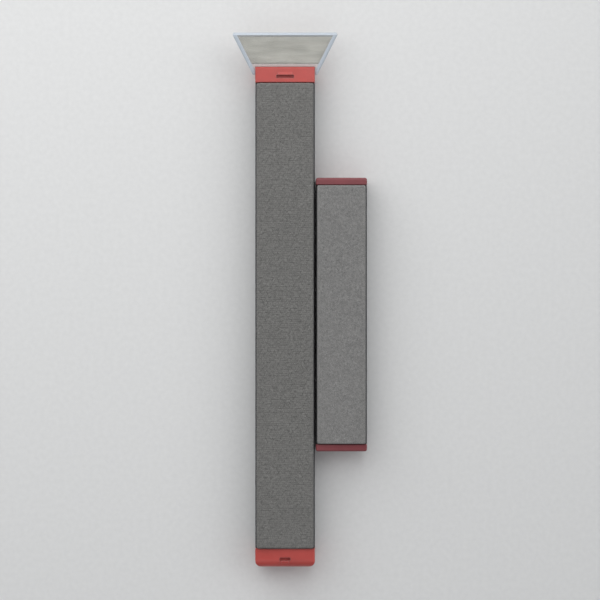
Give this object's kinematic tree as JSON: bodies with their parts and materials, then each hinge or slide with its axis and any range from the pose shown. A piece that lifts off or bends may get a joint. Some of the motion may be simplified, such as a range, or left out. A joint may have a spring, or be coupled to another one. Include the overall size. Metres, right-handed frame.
{
  "type": "magnetic algae scraper",
  "caption": "Slim two-piece magnetic aquarium cleaner: an in-tank scraper bar with scrubber pad and guarded blade, and a felt-faced handle bar.",
  "frame": {"origin": "middle of the scraper bar's back face, on the surface both bars lie on", "axes": "+X across the bars towards the handle bar, +Y along them towards the blade, +Z out of the pads' working faces"},
  "size_m": [0.0321, 0.1282, 0.0105],
  "materials": {
    "casing_plastic": "fine moulded texture, dark charcoal",
    "red_plastic": "satin moulded red",
    "dark_red_plastic": "satin moulded dark red",
    "scrubber_fabric": "short looped grey scrubber fabric",
    "felt": "pressed grey felt",
    "pad_tape": "white foam mounting tape",
    "guard_plastic": "milky translucent moulded plastic",
    "blade_steel": "ground stainless steel, polished at the bevel",
    "screw_steel": "plain stainless steel",
    "spring_steel": "rolled stainless spring strip",
    "yoke_steel": "zinc-plated mild steel",
    "magnet_nickel": "nickel-plated neodymium"
  },
  "bodies": {
    "scraper_unit": {"scraper_casing": "casing_plastic", "scraper_cover": "casing_plastic", "scraper_yoke": "yoke_steel", "scraper_magnet_1": "magnet_nickel", "scraper_magnet_2": "magnet_nickel", "scraper_magnet_3": "magnet_nickel", "scraper_tape": "pad_tape", "scrubber_pad": "scrubber_fabric", "tail_cap": "red_plastic", "detent_spring": "spring_steel"},
    "blade_cartridge": {"blade_holder": "red_plastic", "blade_clamp": "red_plastic", "blade": "blade_steel", "blade_screws": "screw_steel"},
    "guard": {"blade_guard": "guard_plastic"},
    "handle_unit": {"handle_casing": "casing_plastic", "handle_cover": "casing_plastic", "handle_yoke": "yoke_steel", "handle_magnet_1": "magnet_nickel", "handle_magnet_2": "magnet_nickel", "handle_magnet_3": "magnet_nickel", "handle_tape": "pad_tape", "felt_pad": "felt", "handle_cap_front": "dark_red_plastic", "handle_cap_rear": "dark_red_plastic"}
  },
  "joints": [
    {"name": "cartridge_slide", "type": "slide", "parent": "scraper_unit", "child": "blade_cartridge", "axis": [0, 1, 0], "range_m": [0, 0.012], "deforming": ["detent_spring"]},
    {"name": "guard_lift", "type": "slide", "parent": "blade_cartridge", "child": "guard", "axis": [0, 0, 1], "range_m": [0, 0.015]},
    {"name": "handle_lift", "type": "slide", "parent": "scraper_unit", "child": "handle_unit", "axis": [0, 0, 1], "range_m": [0, 0.04]}
  ]
}
